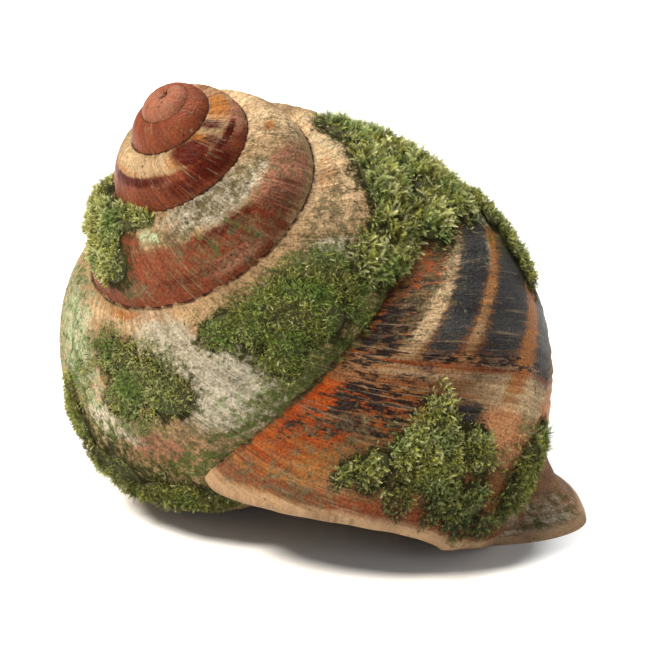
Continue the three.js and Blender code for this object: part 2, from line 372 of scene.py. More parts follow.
# Markings are soft patches: growth turn, angle, half turn, half angle, strength.
markings = {
    "sienna": [  # warm brown of the last whorl
        (5.62, 30, 0.22, 60, 1), (5.62, -40, 0.2, 40, 0.9)],
    "ivoryAndHighlight": [  # pale growth lines and bands, and a painted highlight on a whorl's top at turn 3.44
        (5.618, 6, 0.018, 22, 0.72), (5.613, 32, 0.015, 40, 0.43), (5.72, 42, 0.03, 24, 0.42),
        (5.625, 4, 0.018, 9, 1.2), (5.548, 46.8, 0.055, 3.2, 1), (5.56, 30.5, 0.05, 2.2, 0.6),
        (2.86, 60, 0.12, 15, 0.9), (3.36, 60, 0.1, 18, 0.9), (4.48, 55, 0.1, 13, 0.8),
        (4.81, 61, 0.08, 4, 1), (4.4, 63, 0.06, 9, 1), (3.45, 32, 0.04, 20, 0.9),
        (3.44, 62, 0.05, 14, 1)],
    "brick": [  # the red-brown glossy layer of the spire
        (1.1, 60, 1.25, 200, 1), (2.83, 26, 0.36, 20.5, 1), (2.45, 25, 0.12, 16, 0.6),
        (3.78, 29, 0.19, 18.5, 1), (3.83, 52, 0.025, 6, 0.9), (3.95, 18, 0.12, 12, 0.9),
        (3.1, 30, 0.16, 18, 0.8), (4.1, 24, 0.14, 20, 0.7)],
    "roseAndHighlight": [  # the same layer worn thin, and a painted highlight over the first whorls
        (0.7, 60, 0.6, 200, 0.56), (3.0, 30, 0.06, 18, 0.6), (3.7, 22, 0.05, 6, 0.7),
        (2.5, 34, 0.055, 14, 1), (3.56, 33, 0.055, 16, 1), (4.865, 38, 0.012, 9, 0.8),
        (4.895, 40, 0.008, 14, 0.7), (4.875, 11, 0.035, 6, 1), (3.3, 30, 0.1, 18, 0.7),
        (4.25, 24, 0.1, 18, 0.6)],
    "maroon": [  # dark blotches of the spire
        (2.66, 58, 0.045, 15, 1.2), (2.6, 52, 0.03, 10, 0.6), (2.545, 64, 0.02, 14, 0.7),
        (2.57, 38, 0.06, 5, 0.9), (2.66, 30, 0.06, 15, 0.8), (2.86, 42, 0.11, 5.5, 0.8),
        (2.74, 27, 0.05, 12, 0.6), (3.9, 32, 0.02, 10, 0.5), (3.68, 42, 0.08, 4.5, 0.6),
        (3.74, 24, 0.1, 3.5, 0.55), (3.6, 30, 0.05, 14, 0.5)],
    "amber": [  # orange-brown where the skin is thin
        (2.46, 60, 0.06, 16, 0.9), (2.61, 62, 0.025, 16, 0.8), (2.72, 56, 0.03, 10, 0.5),
        (2.9, 50, 0.1, 4, 0.5), (3.46, 55, 0.014, 5, 0.8), (3.7, 61, 0.03, 10, 0.8),
        (4.47, 62, 0.05, 6, 0.4), (4.8, 64, 0.05, 2.5, 0.7), (5.575, 10.5, 0.055, 3.6, 0.9),
        (5.5, 30.5, 0.1, 2.4, 0.6), (5.71, 50, 0.045, 18, 0.68)],
    "chalk": [  # bare and worn lime
        (3.65, 61, 0.1, 13, 0.9), (2.75, 62, 0.03, 12, 0.35), (4.59, 47, 0.02, 8, 1),
        (4.735, 32, 0.022, 14, 1.1), (4.92, 44, 0.05, 18, 0.55), (4.775, 38, 0.035, 26, 1),
        (4.78, 20, 0.04, 10, 0.9), (4.65, 25, 0.015, 4, 0.8), (4.9, 20, 0.03, 8, 0.7),
        (5.475, 30, 0.014, 9, 0.8), (5.45, 12, 0.02, 4, 0.8), (4.2, 55, 0.1, 14, 0.7),
        (5.512, 38, 0.02, 8, 0.5), (5.75, -34, 0.05, 16, 0.6)],
    "slate": [  # bands of the last whorl
        (5.53, 38.3, 0.075, 5.6, 1), (5.55, 20.8, 0.055, 7.6, 1), (5.565, 2.2, 0.045, 4.6, 0.9),
        (5.642, 21.5, 0.012, 6, 0.8), (5.36, 38.3, 0.14, 5.6, 0.8), (5.36, 20.8, 0.16, 7.6, 0.8),
        (5.38, 2.2, 0.16, 4.6, 0.8), (5.575, 58, 0.03, 4, 0.7)],
    "rust": [  # vivid orange
        (5.663, 57, 0.03, 7, 1.1), (5.677, 47.5, 0.012, 5, 1.1), (5.705, 54, 0.024, 10, 0.6),
        (5.52, 53, 0.03, 5, 0.7), (5.6, 62, 0.05, 2.4, 0.8), (5.65, 42, 0.03, 12, 0.5),
        (5.4, 53, 0.06, 5, 0.6), (5.606, 30, 0.004, 40, 0.42)],
    "soot": [  # black mottling
        (5.65, 46, 0.036, 12, 0.6), (5.575, 55, 0.05, 8, 0.6), (5.505, 51, 0.014, 4, 0.6),
        (5.535, 51, 0.012, 4, 0.65), (5.68, 55, 0.012, 3, 0.6), (5.65, 36, 0.03, 6, 0.52),
        (5.3, 54, 0.1, 6, 0.5), (5.6, 20, 0.006, 40, 0.5), (5.65, 22, 0.02, 8, 0.5)],
    "lichen": [  # pale green crust
        (4.93, 44, 0.055, 22, 0.62), (4.92, 32, 0.03, 10, 0.6), (4.4, 40, 0.05, 26, 0.5),
        (4.98, 40, 0.06, 26, 0.5), (5.1, 40, 0.1, 26, 0.5), (3.79, 57, 0.02, 7, 0.52),
        (4.6, 46, 0.02, 7, 0.6), (4.77, 16, 0.06, 12, 0.35)],
    "algae": [  # green film
        (4.83, 38, 0.055, 19, 0.6), (3.81, 68, 0.05, 9, 0.8), (3.665, 36, 0.006, 20, 0.5),
        (3.712, 42, 0.006, 20, 0.5), (4.67, 38, 0.075, 24, 0.75), (4.87, 5, 0.06, 6, 0.6),
        (4.72, 19, 0.08, 2.5, 0.7), (5.49, 22, 0.03, 14, 0.5), (4.93, 14, 0.05, 10, 0.6),
        (4.96, 60, 0.08, 6, 0.5), (4.85, -20, 0.1, 30, 0.5), (5.655, 61.5, 0.09, 1.4, 0.7),
        (5.56, -30, 0.03, 12, 0.5), (5.25, 30, 0.12, 40, 0.4), (4.75, 12, 0.1, 1.6, 0.7),
        (4.95, 40, 0.08, 30, 0.45), (4.7, 10, 0.1, 12, 0.5), (4.62, 44, 0.05, 18, 0.7),
        (4.68, 15, 0.12, 4, 0.72), (4.78, 4, 0.08, 6, 0.65), (4.81, 40, 0.04, 14, 0.5),
        (4.74, -8, 0.08, 16, 0.6), (5.76, -40, 0.05, 10, 0.5)],
    "dirtAndShade": [  # olive-brown dirt held in the worn places, and painted shade where the shell faces away from the light
        (3.62, 62, 0.12, 12, 0.62), (3.76, 52, 0.06, 8, 0.6), (3.5, 40, 0.1, 30, 0.4),
        (3.7, 32, 0.14, 20, 0.38), (4.53, 58, 0.07, 8, 0.6), (4.6, 52, 0.1, 14, 0.55),
        (4.85, 48, 0.1, 8, 0.45), (4.69, 19, 0.08, 7, 0.5), (4.8, 14, 0.06, 10, 0.45),
        (4.8, 0, 0.1, 26, 0.6), (4.95, 30, 0.1, 40, 0.38), (3.86, 24, 0.04, 8, 0.6),
        (5.52, 50, 0.07, 8, 0.5), (5.3, 40, 0.12, 60, 0.45), (4.25, 30, 0.12, 30, 0.45),
        (5.76, -36, 0.07, 20, 0.42), (5.1, -20, 0.2, 50, 0.42), (5.68, 30, 0.03, 30, 0.45),
        (5.73, 45, 0.03, 20, 0.5)],
    "peach": [  # smooth skin above the flared lip
        (5.65, 8, 0.018, 9, 1), (5.63, -14, 0.03, 14, 0.8)],
}


fadeOut = 1.5  # in half widths: a patch is gone here, and full up to one less


def patchMask(patches, turn, angle):  # full inside a patch, half on its edge, 0 well outside
    mask = np.zeros(np.broadcast(turn, angle).shape)
    for centreTurn, centreAngle, halfTurn, halfAngle, strength in patches:
        x, y = np.abs(turn - centreTurn) / halfTurn, np.abs(angle - centreAngle) / halfAngle
        reach = (x ** 3 + y ** 3) ** (1 / 3)
        mask = np.maximum(mask, strength * np.clip(fadeOut - reach, 0, 1))
    return mask


def soilAndShadeMask(turn, angle):  # 1 under the moss: dark soil and painted shade
    mask = np.zeros(np.broadcast(turn, angle).shape)
    for domes in cushions.values():
        for centreTurn, centreAngle, along, aside, _ in domes:
            x = (turn - centreTurn) * float(perTurn(centreTurn, centreAngle)) / along
            y = (angle - centreAngle) * float(perDegree(centreTurn, centreAngle)) / aside
            mask = np.maximum(mask, np.clip(soilAndShadeReach - np.hypot(x, y), 0, 1))
    return mask


# Relief of the outer surface, in mm where nothing else is said.
relief = {
    "fullSize": 6, "leastShare": 0.12,  # tube size with full relief, and the share left at the tip
    "ribSpacing": 1.2, "ribRun": 14, "ribHeight": 0.1,  # growth ribs
    "fineSpacing": 0.6, "fineRun": 8, "fineShare": 0.5,  # finer ribs between them
    "swell": 0.16, "swellSize": 7.0, "swellLeast": 0.4,  # slow unevenness
    "pits": 0.308, "pitSize": 0.9, "pitFrom": 0.12,  # worn chalky places
    "pitLichen": 0.6, "pitElsewhere": 0.25,  # shares of the pits
    "steps": ((5.601, 0.1), (5.609, 0.06), (5.617, 0.07), (5.628, 0.07),
              (4.735, 0.1), (4.805, 0.14), (3.6, 0.06)),  # growth turn, height
    "stepWidth": 0.28, "stepTurnLength": 110,  # a ridge, and the length of a turn there
    "stepDip": 0.8, "dipStart": (0, 0.006), "dipEnd": (0.01, 0.05),  # share of height, turns
    "crimp": 0.14, "crimpSpacing": 0.85, "crimpReach": 2.6, "crimpLeast": 0.35,  # folds at the seam
    "crimpPhase": 6.283, "crimpDrift": 5,  # radians a fold, and how far they wander
}


def noiseAt(points):
    flat = points.reshape(-1, 3)
    values = np.fromiter((noise.noise(p) for p in flat.tolist()), float, len(flat))
    return values.reshape(points.shape[:-1])


def reliefAt(turn, angle, point):
    grow = growthTurn(turn, angle)
    along = np.interp(grow, turns, alongTable)
    side = across(turn, angle)
    size = np.clip(tubeSize(turn) / relief["fullSize"], relief["leastShare"], 1)
    zero = np.zeros_like(along)
    ribs = noiseAt(np.stack([along / relief["ribSpacing"], side / relief["ribRun"], zero], -1))
    fine = noiseAt(np.stack([along / relief["fineSpacing"], side / relief["fineRun"], zero + 7], -1))
    height = relief["ribHeight"] * size * (ribs + relief["fineShare"] * fine)
    swellSize = np.clip(size, relief["swellLeast"], 1)[..., None]
    height += relief["swell"] * size * noiseAt(point / relief["swellSize"] / swellSize)
    worn = patchMask(markings["chalk"], grow, angle)
    worn = worn + relief["pitLichen"] * patchMask(markings["lichen"], grow, angle)
    pits = np.clip(noiseAt(point / relief["pitSize"]) - relief["pitFrom"], 0, 1)
    height -= relief["pits"] * size * np.clip(worn + relief["pitElsewhere"], 0, 1) * pits
    for stepTurn, depth in relief["steps"]:
        past = grow - stepTurn
        ridge = np.exp(-((past * relief["stepTurnLength"]) / relief["stepWidth"]) ** 2)
        dip = smooth(past, *relief["dipStart"]) * (1 - smooth(past, *relief["dipEnd"]))
        height += depth * (ridge - relief["stepDip"] * dip)
    below = np.maximum(across(turn, upperSeam(turn)) - side, 0)
    fold = np.exp(-below / (relief["crimpReach"] * size))
    spacing = relief["crimpSpacing"] * np.clip(size, relief["crimpLeast"], 1)
    wave = np.cos(along / spacing * relief["crimpPhase"] + relief["crimpDrift"] * fine)
    return height + relief["crimp"] * size * fold * wave


def newSheet(columns, rows):  # a flat grid, one corner a point, ready to be placed
    bm = bmesh.new()
    bmesh.ops.create_grid(bm, x_segments=columns, y_segments=rows, size=0.5)
    flat = np.array([vertex.co[:2] for vertex in bm.verts]) + 0.5
    return bm, flat[:, 0], flat[:, 1]


def columnTurns(start, end, share):  # evenly spaced along the whorls
    startMm, endMm = np.interp((start, end), turns, alongTable)
    return np.interp(startMm + (endMm - startMm) * share, alongTable, turns)


def rowAngles(share, low, high):  # share 0 at the lower edge, 1 at the upper edge
    start, end = np.interp(low, angles, rowTable), np.interp(high, angles, rowTable)
    return np.interp(start + (end - start) * share, rowTable, angles)


def setPlaces(vertices, points):
    for vertex, place in zip(vertices, (points * mm).tolist()):
        vertex.co = place


def addLayers(mesh, layers):
    for name, values in layers.items():
        kind = "FLOAT" if values.ndim == 1 else "FLOAT_VECTOR"
        layer = mesh.attributes.new(name, kind, "POINT")
        layer.data.foreach_set("value" if kind == "FLOAT" else "vector",
                               values.ravel().astype(np.float32))


# Tones that follow the seams and the lip, in mm where nothing else is said.
edges = {
    "seamWidth": (0.035, 0.014), "seamTurns": (0.9, 1.4),  # mm, mm for each mm of tube size; turns
    "openFrom": 4.75, "noSeam": 9,  # turn from which no whorl lies below; mm, farther than any seam
    "lipTurnLength": 115, "lipFrom": 5,  # mm a turn near the lip; turn
    "rimWidth": (0.7, 1.0), "rimWider": (22, 50),  # mm, mm more; between these angles
    "stainWidth": 0.85, "stainGap": 1.0, "stainAngles": (-45, -10), "stainFade": 1.4,
    "polish": (0.8, 0.7), "polishTurns": (1.8, 3.2),  # on the first whorls, on the rim
}


def shellLayers(turn, angle, rim):
    grow = growthTurn(turn, angle)
    layers = {name: patchMask(patches, grow, angle) for name, patches in markings.items()}
    layers["soilAndShade"] = soilAndShadeMask(turn, angle)
    side = across(turn, angle)
    toUpper = across(turn, upperSeam(turn)) - side
    toLower = np.where(turn < edges["openFrom"], side - across(turn, lowerSeam(turn)),
                       edges["noSeam"])
    least, more = edges["seamWidth"]
    width = least + more * tubeSize(turn)
    layers["seam"] = np.clip(1 - np.minimum(np.abs(toUpper), np.abs(toLower)) / width / 2, 0, 1)
    layers["seam"] *= smooth(turn, *edges["seamTurns"])
    lipGap = (np.interp(angle, angles, lipTable) - turn) * edges["lipTurnLength"]
    onLip = turn > edges["lipFrom"]
    least, more = edges["rimWidth"]
    width = least + more * smooth(angle, *edges["rimWider"])
    layers["rim"] = np.maximum(rim, np.clip(fadeOut - lipGap / width, 0, 1) * onLip)
    fromStain = np.abs(lipGap - width - edges["stainGap"]) / edges["stainWidth"]
    layers["stain"] = (np.clip(edges["stainFade"] - fromStain, 0, 1) * onLip
                       * smooth(angle, *edges["stainAngles"]))
    tipPolish, rimPolish = edges["polish"]
    layers["polish"] = np.maximum(tipPolish * (1 - smooth(turn, *edges["polishTurns"])),
                                  rimPolish * np.clip(layers["rim"], 0, 1))
    layers["growth"] = np.stack([np.interp(grow, turns, alongTable), side, turn], -1)
    return layers


spire = {
    "from": 0.2, "to": 4.15, "columns": 700, "rows": 64,  # turns
    "crowding": 1.25,  # over 1 puts more columns on the first whorls
    "nose": 0.25, "wall": 0.35,  # turns, mm
    "tipShare": 0.02, "closing": 0.02,  # on this share of the nose, points so close in mm become one
}


def makeSpire(materials):
    bm, u, v = newSheet(spire["columns"], spire["rows"])
    turn = columnTurns(spire["from"], spire["to"], u ** spire["crowding"])
    angle = rowAngles(v, lowerSeam(turn) - seamOverlap[0], upperSeam(turn) + seamOverlap[1])
    nose = np.clip((turn - spire["from"]) / spire["nose"], 0, 1)
    share = np.sqrt(nose * (2 - nose))
    point = tubePoint(turn, angle, share)
    normal = tubeFrame(turn, angle)[1]
    point = point + normal * (reliefAt(turn, angle, point) * share)[:, None]
    setPlaces(bm.verts, point)
    marks = {"turnMark": turn, "angleMark": angle}  # carried through the merge at the tip
    for name, values in marks.items():
        layer = bm.verts.layers.float.new(name)
        for vertex, value in zip(bm.verts, values.tolist()):
            vertex[layer] = value
    tip = [vertex for vertex, n in zip(bm.verts, nose) if n < spire["tipShare"]]
    bmesh.ops.remove_doubles(bm, verts=tip, dist=spire["closing"] * mm)
    bmesh.ops.recalc_face_normals(bm, faces=bm.faces)
    mesh = meshFrom(bm, "spireWhorls")
    turnAngle = []
    for name in marks:
        values = np.zeros(len(mesh.vertices), np.float32)
        mesh.attributes[name].data.foreach_get("value", values)
        turnAngle.append(values.astype(float))
        mesh.attributes.remove(mesh.attributes[name])
    addLayers(mesh, shellLayers(*turnAngle, np.zeros(len(mesh.vertices))))
    piece = finishPiece(mesh, "spireWhorls", materials, "shell")
    solidify = piece.modifiers.new("wall", "SOLIDIFY")
    solidify.thickness = spire["wall"] * mm
    solidify.offset = -1
    solidify.use_rim = True


body = {
    "from": 4.15, "squeezeFrom": 4.9, "columns": 350, "rows": 160,  # turns
    "wholeAngle": -238, "wholeTurns": (4.3, 4.6),  # degrees, turns: where the tube is shown all round
    "rimRadius": 0.78, "rimColumns": 10, "rimRipple": 0.12, "rippleSize": 2.2,  # mm
    "rimTurnLength": 118,  # mm a turn just behind the lip
    "liningColumns": 110, "liningTurns": 0.8, "liningWall": 0.9, "liningCrowding": 1.3,  # mm
    "liningThinBy": 0.12, "darkBy": 0.3,  # shares of the lining
    "rimRelief": 0.3, "rimReliefFrom": 0.02,  # share of the relief left at the lip; turns
    "rimToneAhead": 3, "rimToneFade": 4, "rimToneTo": 0.8,  # columns; share of the rim's columns
}


def makeBody(materials):
    outer, rimCount, inner = body["columns"], body["rimColumns"], body["liningColumns"]
    total = outer + rimCount + inner
    bm, u, v = newSheet(total, body["rows"])
    column = u * total
    radius = body["rimRadius"]
    innerShare = np.clip((column - outer - rimCount) / inner, 0, 1)
    base = columnTurns(body["from"], spiral["mostTurn"], np.clip(column / outer, 0, 1))
    base = base - body["liningTurns"] * innerShare ** body["liningCrowding"]
    low = lowerSeam(base) - seamOverlap[0]
    low = low + (body["wholeAngle"] - low) * smooth(base, *body["wholeTurns"])
    angle = rowAngles(v, low, upperSeam(base) + seamOverlap[1])
    lip = np.interp(angle, angles, lipTable) - radius / body["rimTurnLength"]
    squeeze = body["squeezeFrom"]
    squeezed = squeeze + (base - squeeze) * (lip - squeeze) / (spiral["mostTurn"] - squeeze)
    turn = np.where(base > squeeze, squeezed, base)
    point, normal, along, aside = tubeFrame(turn, angle)
    lipSlopes = np.gradient(lipTable, angles)
    lipSlope = lipSlopes[np.searchsorted(angles, angle).clip(0, len(angles) - 1)]
    edge = unit(aside + along * lipSlope[:, None])
    forward = unit(np.cross(normal, edge))
    forward *= np.sign(np.sum(forward * along, -1, keepdims=True))
    roll = math.pi * np.clip((column - outer) / rimCount, 0, 1)
    ripplePlace = np.stack([across(turn, angle) / body["rippleSize"], roll, roll * 0], -1)
    thick = radius + body["rimRipple"] * noiseAt(ripplePlace) * np.sin(roll)
    wall = body["liningWall"]
    lining = wall + (2 * radius - wall) * (1 - smooth(innerShare, 0, body["liningThinBy"]))
    nearLip = smooth(turn, lip - body["rimReliefFrom"], lip)
    outward = reliefAt(turn, angle, point) * (1 - (1 - body["rimRelief"]) * nearLip)
    onRim = -radius + thick * np.cos(roll)
    offset = np.where(column <= outer, outward,
                      np.where(innerShare > 0, -lining, onRim + outward * (1 - roll / math.pi)))
    point = point + normal * offset[:, None] + forward * (thick * np.sin(roll))[:, None]
    point[:, 2] = np.maximum(point[:, 2], 0)
    setPlaces(bm.verts, point)
    isLining = column > outer + rimCount * body["rimToneTo"]
    bm.verts.ensure_lookup_table()
    bmesh.ops.recalc_face_normals(bm, faces=bm.faces)
    for face in bm.faces:
        face.material_index = 1 if all(isLining[vertex.index] for vertex in face.verts) else 0
    mesh = meshFrom(bm, "bodyWhorls")
    onRimTone = (column - outer + body["rimToneAhead"]) / body["rimToneFade"]
    rim = np.clip(onRimTone, 0, 1) * (innerShare <= 0)
    layers = shellLayers(turn, angle, rim)
    layers["depth"] = smooth(innerShare, 0, body["darkBy"])
    addLayers(mesh, layers)
    finishPiece(mesh, "bodyWhorls", materials, "shell")


# Weathered aragonite: matt and chalky where it is worn, satin where the coloured outer skin is left.
skin = {
    "base": ("#ac9069", "#5f452c"),
    "speck": "#2b1f16", "speckSize": 0.55, "speckShare": 0.75,  # mm
    "speckEdge": (0.3, 0.14), "speckBlotch": (0.55, 0.8),  # edge in cells; blotch that holds them
    "lines": (("#2b1f16", 0.22, 0.05, 0.55), ("#bfa783", 0.72, 0.95, 0.2)),  # colour, from, to, share
    # noise: size in mm, detail, roughness, and how far it is drawn out along the growth lines
    "noises": {
        "blotch": (1.5, 5.0, 0.62, None),
        "crumb": (0.7, 5.0, 0.75, None),
        "mottle": (0.55, 4.0, 0.7, 0.38),
        "cloud": (4.5, 3.0, 0.5, None),
        "grain": (0.22, 3.0, 0.5, None),
        "streak": (0.9, 5.0, 0.65, 0.06),
        "line": (0.32, 3.0, 0.6, 0.06),  # the fine growth lines
    },
    "contrast": (0.3, 0.7),  # of every noise
    "shades": {"grain": (0.62, 1.36), "cloud": (0.78, 1.2)},
    "roughness": (0.42, 0.25), "specular": 0.07,  # least, and more in the blotches
    "bump": 0.75, "bumpDepth": 0.09,  # share, mm
    "bumpLines": 0.6, "bumpMottle": 0.8,  # how high they stand beside the grain
}

# layer: light colour, dark colour, edge noise, how far it moves the edge, softness, roughness
shellTones = {
    "sienna": ("#8c5d36", "#432511", "streak", 0.3, 0.3, 0.45),
    # pale lines and bands, and a painted highlight
    "ivoryAndHighlight": ("#cdb48c", "#6b4a2c", "line", 0.5, 0.3, 0.6),
    "peach": ("#c98f62", "#925f3e", "blotch", 0.3, 0.25, 0.45),
    "brick": ("#83432a", "#4a2110", "streak", 0.3, 0.14, 0.32),
    # worn layer, and a painted highlight on the first whorls
    "roseAndHighlight": ("#a8745a", "#6d3f2b", "streak", 0.4, 0.25, 0.45),
    "amber": ("#a86c2c", "#6d3a14", "line", 0.5, 0.3, 0.4),
    "maroon": ("#561705", "#300b03", "line", 0.35, 0.25, 0.32),
    "chalk": ("#bfb7a2", "#6b614c", "blotch", 0.5, 0.3, 0.8),
    "slate": ("#42413f", "#121213", "mottle", 0.55, 0.25, 0.38),
    "rust": ("#aa4806", "#421604", "streak", 0.6, 0.25, 0.35),
    "soot": ("#241a15", "#120d0b", "mottle", 0.75, 0.12, 0.4),
    "stain": ("#844527", "#4b2110", "line", 0.7, 0.3, 0.45),
    # dirt, and painted shade where the shell faces away from the light
    "dirtAndShade": ("#716345", "#393020", "crumb", 1.0, 0.34, 0.9),
    "lichen": ("#bcc8a4", "#6f8257", "crumb", 0.9, 0.25, 0.85),
    "algae": ("#585f30", "#2a3116", "crumb", 0.8, 0.25, 0.9),
    "seam": ("#4a3020", "#241710", "blotch", 0.5, 0.3, 0.7),
    "rim": ("#b99a76", "#6f5135", "blotch", 0.3, 0.3, 0.4),
    # soil, and painted shade under the moss
    "soilAndShade": ("#36361a", "#1c1b0d", "crumb", 0.7, 0.25, 0.95),
}


def makeShellSkin():
    material, tree, shader = newMaterial("weatheredAragonite")
    place = addNode(tree, "TexCoord").outputs["Object"]
    growth = addNode(tree, "Attribute", {"attribute_name": "growth"}).outputs["Vector"]
    low, high = skin["contrast"]
    sockets = {}
    for name, (size, detail, roughness, drawn) in skin["noises"].items():
        coordinates, scale = place, 1000 / size
        if drawn:  # the growth layer is in mm, object coordinates in metres
            coordinates = addNode(tree, "VectorMath",
                                  {"operation": "MULTIPLY", 1: (1, drawn, 1)},
                                  {0: growth}).outputs[0]
            scale = 1 / size
        texture = addNode(tree, "TexNoise",
                          {"Scale": scale, "Detail": detail, "Roughness": roughness},
                          {"Vector": coordinates})
        sockets[name] = addNode(tree, "MapRange", {1: low, 2: high},
                                {0: texture.outputs[0]}).outputs[0]

    # Each tone lies over the ones before it, where its layer and its edge noise together pass.
    tone = addNode(tree, "Math", {"operation": "ADD"},
                   {0: sockets["streak"], 1: sockets["line"]})
    tone = addNode(tree, "Math", {"operation": "MULTIPLY", 1: 0.5},
                   {0: tone.outputs[0]}).outputs[0]
    light, dark = skin["base"]
    colour = addNode(tree, "Mix", {"data_type": "RGBA", 6: light, 7: dark},
                     {0: tone}).outputs[2]
    least, more = skin["roughness"]
    rough = addNode(tree, "Math", {"operation": "MULTIPLY_ADD", 1: more, 2: least},
                    {0: sockets["blotch"]}).outputs[0]
    for name, (light, dark, edgeNoise, move, soft, roughness) in shellTones.items():
        mask = addNode(tree, "Attribute", {"attribute_name": name}).outputs["Fac"]
        moved = addNode(tree, "Math", {"operation": "MULTIPLY_ADD", 1: move},
                        {0: sockets[edgeNoise], 2: mask}).outputs[0]
        middle = 0.5 + 0.5 * move
        covered = addNode(tree, "MapRange",
                          {"interpolation_type": "SMOOTHSTEP", 1: middle - soft, 2: middle + soft},
                          {0: moved}).outputs[0]
        over = addNode(tree, "Mix", {"data_type": "RGBA", 6: light, 7: dark},
                       {0: tone}).outputs[2]
        colour = addNode(tree, "Mix", {"data_type": "RGBA"},
                         {0: covered, 6: colour, 7: over}).outputs[2]
        rough = addNode(tree, "Mix", {3: roughness}, {0: covered, 2: rough}).outputs[0]

    # Specks of dirt in the blotches, then dark and pale growth lines.
    cells = addNode(tree, "TexVoronoi", {"Scale": 1000 / skin["speckSize"]},
                    {"Vector": place})
    start, end = skin["speckEdge"]
    dots = addNode(tree, "MapRange", {1: start, 2: end}, {0: cells.outputs["Distance"]})
    start, end = skin["speckBlotch"]
    where = addNode(tree, "MapRange", {1: start, 2: end, 4: skin["speckShare"]},
                    {0: sockets["blotch"]})
    specks = addNode(tree, "Math", {"operation": "MULTIPLY"},
                     {0: dots.outputs[0], 1: where.outputs[0]})
    colour = addNode(tree, "Mix", {"data_type": "RGBA", 7: skin["speck"]},
                     {0: specks.outputs[0], 6: colour}).outputs[2]
    for over, start, end, share in skin["lines"]:
        marks = addNode(tree, "MapRange", {1: start, 2: end, 4: share}, {0: sockets["line"]})
        colour = addNode(tree, "Mix", {"data_type": "RGBA", 7: over},
                         {0: marks.outputs[0], 6: colour}).outputs[2]

    # Grain and clouds darken and lighten it all, apart from what is polished.
    shades = [addNode(tree, "MapRange", {3: darkest, 4: lightest}, {0: sockets[name]}).outputs[0]
              for name, (darkest, lightest) in skin["shades"].items()]
    shade = addNode(tree, "Math", {"operation": "MULTIPLY"}, dict(enumerate(shades))).outputs[0]
    polish = addNode(tree, "Attribute", {"attribute_name": "polish"}).outputs["Fac"]
    shade = addNode(tree, "Mix", {3: 1.0}, {0: polish, 2: shade}).outputs[0]
    colour = addNode(tree, "VectorMath", {"operation": "SCALE"},
                     {0: colour, "Scale": shade}).outputs[0]
    tree.links.new(colour, shader.inputs["Base Color"])
    tree.links.new(rough, shader.inputs["Roughness"])
    shader.inputs["Specular IOR Level"].default_value = skin["specular"]
    height = addNode(tree, "Math", {"operation": "MULTIPLY_ADD", 1: skin["bumpLines"]},
                     {0: sockets["line"], 2: sockets["grain"]}).outputs[0]
    height = addNode(tree, "Math", {"operation": "MULTIPLY_ADD", 1: skin["bumpMottle"]},
                     {0: sockets["mottle"], 2: height}).outputs[0]
    bump = addNode(tree, "Bump",
                   {"Strength": skin["bump"], "Distance": skin["bumpDepth"] * mm},
                   {"Height": height})
    tree.links.new(bump.outputs[0], shader.inputs["Normal"])
    return material


# Polished aragonite lining: smooth and glossy, dark red-brown inside and paler at the lip.
shellInside = {
    "lip": "#a07850", "colours": ("#3a1a12", "#5b2c1c"),
    "grain": 2.5, "detail": 4.0, "bump": 0.3, "bumpDepth": 0.1,  # mm, share, mm
    "roughness": 0.22,
}


def makeShellInside():
    material, tree, shader, deep = twoToneMaterial("polishedAragoniteLining", shellInside)
    depth = addNode(tree, "Attribute", {"attribute_name": "depth"}).outputs["Fac"]
    colour = addNode(tree, "Mix", {"data_type": "RGBA", 6: shellInside["lip"]}, {0: depth, 7: deep})
    tree.links.new(colour.outputs[2], shader.inputs["Base Color"])
    return material


shellMaterials = [makeShellSkin(), makeShellInside()]
makeSpire(shellMaterials)
print("stage: spire")
makeBody(shellMaterials)
print("stage: body whorls and lip")

# Peat: the dark crumbly felt of dead stems that the live shoots stand in, and painted shade in the
# depths of the cushions.
peatAndShade = {
    "colours": ("#23260c", "#47471b"), "roughness": 0.95,
    "grain": 0.5, "detail": 4.0, "bump": 1.0, "bumpDepth": 0.3,  # mm, share, mm
    "spread": 0.72, "heightShare": 0.3, "sink": 0.3,  # shares of a cushion, and mm under the shell
    "lumps": 0.35, "lumpSize": 0.9, "clearance": 0.35,  # mm
    "segments": 24, "rings": 12,
}


def makePeatAndShade(node, name, material):  # the mounds under one piece of moss
    bm = bmesh.new()
    for turn, angle, along, aside, height in cushions[node]:
        made = bmesh.ops.create_uvsphere(bm, u_segments=peatAndShade["segments"],
                                         v_segments=peatAndShade["rings"], radius=1.0)
        ball = np.array([vertex.co[:] for vertex in made["verts"]])
        here = turn + ball[:, 0] * along * peatAndShade["spread"] / float(perTurn(turn, angle))
        there = angle + ball[:, 1] * aside * peatAndShade["spread"] / float(perDegree(turn, angle))
        point, normal, _, _ = tubeFrame(here, there)
        rise = np.where(ball[:, 2] > 0, ball[:, 2] * height * peatAndShade["heightShare"],
                        ball[:, 2] * peatAndShade["sink"])
        point = point + normal * rise[:, None]
        lumps = noiseAt(point / peatAndShade["lumpSize"]) * peatAndShade["lumps"] * np.clip(ball[:, 2], 0, 1)
        point += normal * lumps[:, None]
        point[:, 2] = np.maximum(point[:, 2], peatAndShade["clearance"])
        setPlaces(made["verts"], point)
    bmesh.ops.recalc_face_normals(bm, faces=bm.faces)
    finishPiece(meshFrom(bm, "peatAndShade" + name), "peatAndShade" + name, [material], node)


# The shape of one shoot, in shares of its length.
shoot = {
    "shapes": 9, "bend": (0.1, 0.3), "twist": 0.5,  # least and more, whole range
    "bendWave": 1.6, "rungs": (0, 0.45, 0.85), "stemWidth": 0.035,  # rungs: corners of the stem
    "leafPairs": 9, "leavesFrom": 0.12, "leavesOver": 0.86, "leafWidth": 0.075,
    "leafLength": 0.25, "swell": (0.75, 0.5, 3.0), "taper": (1.25, 0.75),  # of the leaf's length
    "forward": 0.55, "outward": 0.8, "lift": (0.12, 0.16),  # shares of a leaf; lift: least, step
}

